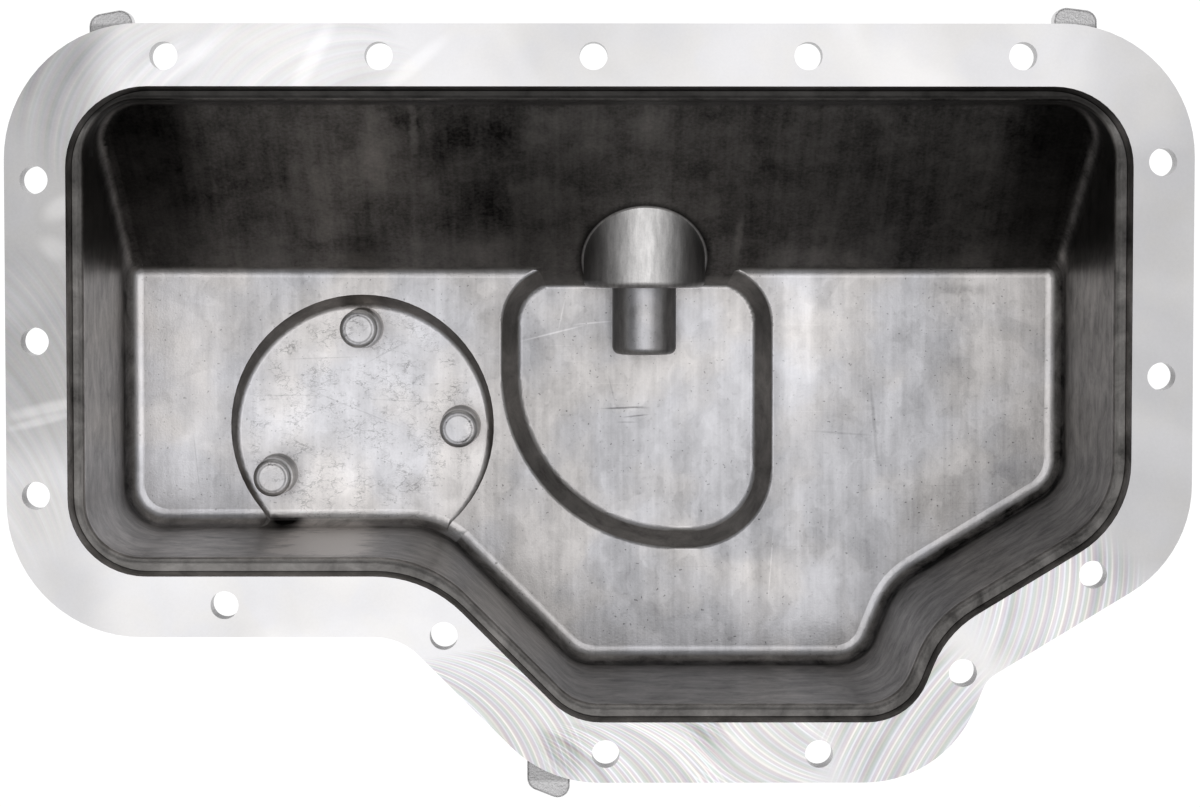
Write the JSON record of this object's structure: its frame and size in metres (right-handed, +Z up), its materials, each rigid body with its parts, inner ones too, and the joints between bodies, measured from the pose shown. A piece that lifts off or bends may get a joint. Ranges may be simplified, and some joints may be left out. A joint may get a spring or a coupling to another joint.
{
  "type": "engine oil pan",
  "caption": "Cast aluminium engine oil pan: bolting flange round a stepped open hollow, sloped wall with drain boss and plug, deep sump, and a round sensor pad with blind posts.",
  "frame": {"origin": "below the middle of the flange, on the plane that the sump's underside rests on", "axes": "+X along the pan towards the end with the sloping corner, +Y across it towards the sloped wall with the drain, +Z up out of the open side"},
  "size_m": [0.38, 0.254, 0.0865],
  "materials": {
    "cast_aluminium": "die cast, machined bright on the flange face",
    "plug_steel": "zinc plated",
    "washer_aluminium": "plain"
  },
  "bodies": {
    "root": {"pan_casting": "cast_aluminium", "drain_plug": "plug_steel", "drain_plug_washer": "washer_aluminium"}
  },
  "joints": []
}
